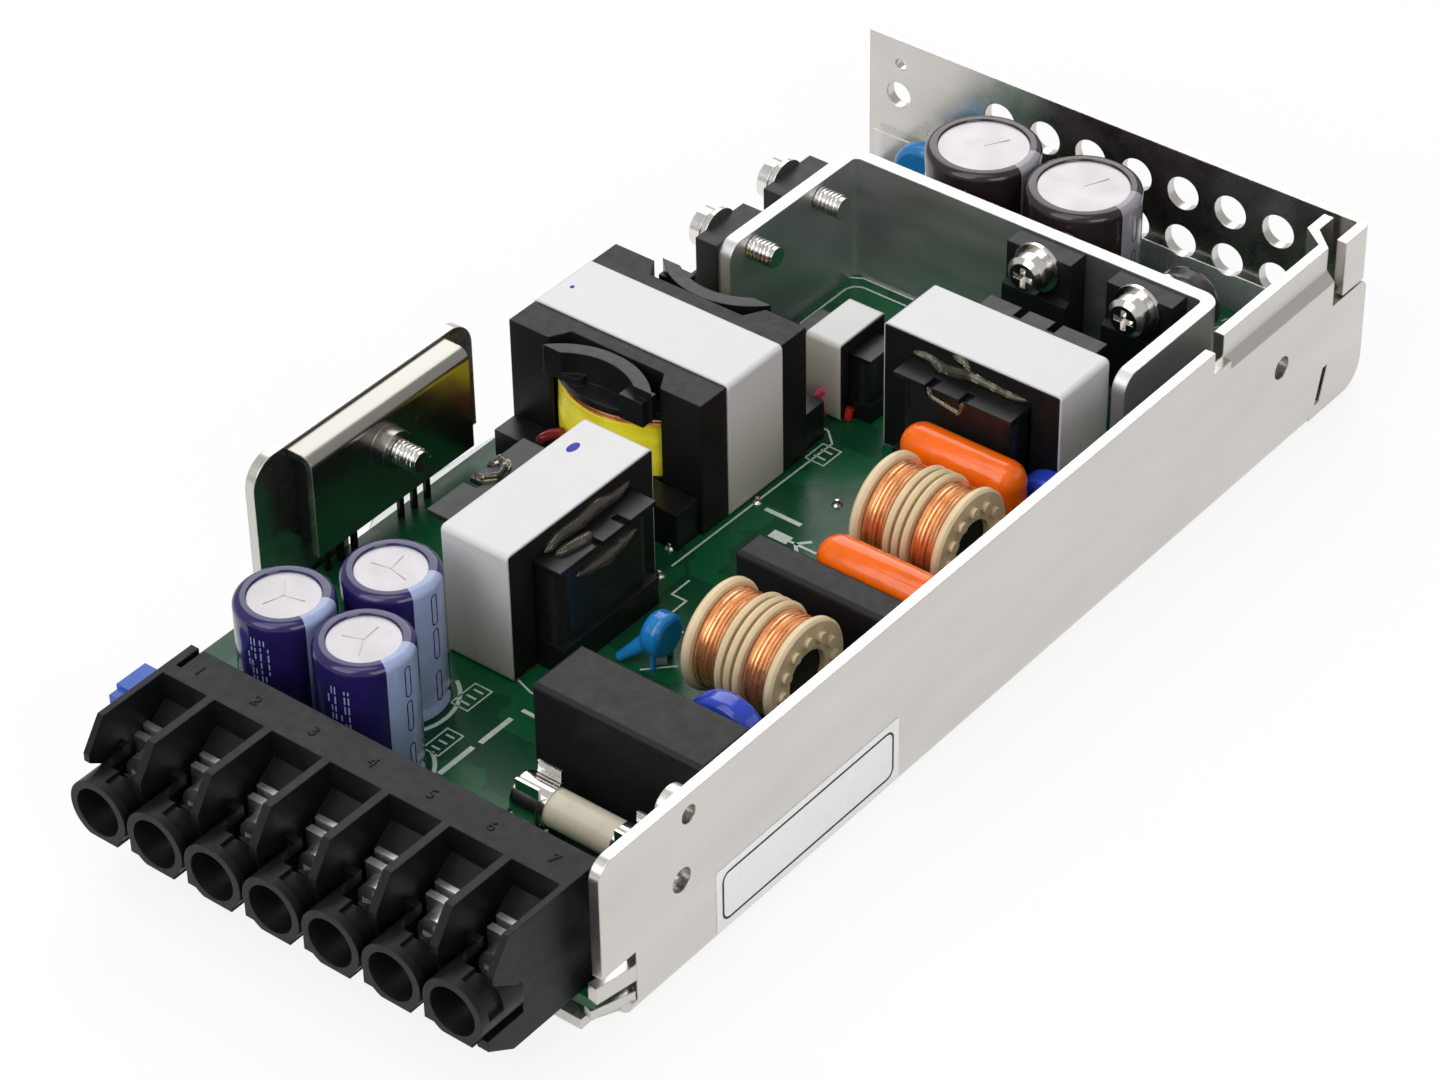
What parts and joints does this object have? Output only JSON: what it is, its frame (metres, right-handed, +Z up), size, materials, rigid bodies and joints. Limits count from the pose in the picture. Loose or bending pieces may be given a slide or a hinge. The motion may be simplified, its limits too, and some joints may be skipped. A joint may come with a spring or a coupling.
{
  "type": "enclosed switching power supply",
  "caption": "Open-frame switching power supply: folded sheet chassis, populated circuit board, screw terminal block in front and vented rear wall, cover removed.",
  "frame": {"origin": "under the middle of the whole unit, on the underside of the chassis floor", "axes": "+Z up from the floor, -Y toward the terminal block, +X toward the closed side wall"},
  "size_m": [0.082, 0.1764, 0.0262],
  "materials": {
    "chassis": "satin plated sheet",
    "film": "clear film",
    "board": "green solder mask",
    "steel": "bright plated",
    "block": "moulded, fine grain",
    "trimmer": "moulded",
    "sleeve_violet": "shrink sleeve",
    "sleeve_brown": "shrink sleeve",
    "ferrite": "sintered ferrite",
    "bobbin": "moulded",
    "copper": "enamelled wire",
    "tape_yellow": "polyester tape",
    "tape_black": "tape over a winding",
    "tape_white": "polyester tape",
    "aluminium": "bright rolled plate",
    "package": "moulded",
    "cream": "moulded",
    "orange": "dipped resin",
    "box": "moulded",
    "fuse": "ceramic tube",
    "royal_blue": "dipped resin",
    "light_blue": "dipped resin",
    "grey": "dipped resin"
  },
  "bodies": {
    "root": {"chassis_floor": "chassis", "chassis_walls": "chassis", "insulation_film": "film", "circuit_board": "board", "board_screws": "steel", "terminal_block": "block", "terminal_plates": "steel", "terminal_clamps": "steel", "terminal_screws": "steel", "trimmer_body": "trimmer", "output_capacitor_1": "sleeve_violet", "output_capacitor_2": "sleeve_violet", "output_capacitor_3": "sleeve_violet", "bulk_capacitor_1": "sleeve_brown", "bulk_capacitor_2": "sleeve_brown", "output_choke_core": "ferrite", "output_choke_bobbin": "bobbin", "output_choke_winding": "tape_black", "output_choke_tape": "tape_white", "main_transformer_core": "ferrite", "main_transformer_bobbin": "bobbin", "main_transformer_winding": "tape_yellow", "main_transformer_tape": "tape_white", "boost_choke_core": "ferrite", "boost_choke_bobbin": "bobbin", "boost_choke_winding": "tape_black", "boost_choke_tape": "tape_white", "drive_transformer_core": "ferrite", "drive_transformer_bobbin": "bobbin", "drive_transformer_winding": "tape_black", "drive_transformer_tape": "tape_white", "heatsink": "aluminium", "switch_transistor_1": "package", "switch_transistor_2": "package", "power_diode_1": "package", "power_diode_2": "package", "heatsink_screws": "steel", "heatsink_washers": "steel", "line_filter_spool_1": "cream", "line_filter_spool_2": "cream", "line_filter_winding_1": "copper", "line_filter_winding_2": "copper", "line_filter_core_1": "ferrite", "line_filter_core_2": "ferrite", "film_capacitor_1": "orange", "film_capacitor_2": "orange", "box_capacitor_1": "box", "box_capacitor_2": "box", "fuse_tube": "fuse", "fuse_caps": "steel", "fuse_clips": "steel", "varistor_1": "royal_blue", "varistor_2": "royal_blue", "disc_capacitor_1": "light_blue", "disc_capacitor_2": "light_blue", "thermistor": "grey", "clamp_plate": "steel", "clamp_screw": "steel", "output_rectifiers": "package"},
    "trimmer_rotor": {"trimmer_rotor": "trimmer"}
  },
  "joints": [
    {"name": "trimmer_turn", "type": "hinge", "parent": "root", "child": "trimmer_rotor", "pos_m": [-0.0336, -0.07205, 0.0087], "axis": [0, -1, 0], "range_deg": [-130, 130]}
  ]
}
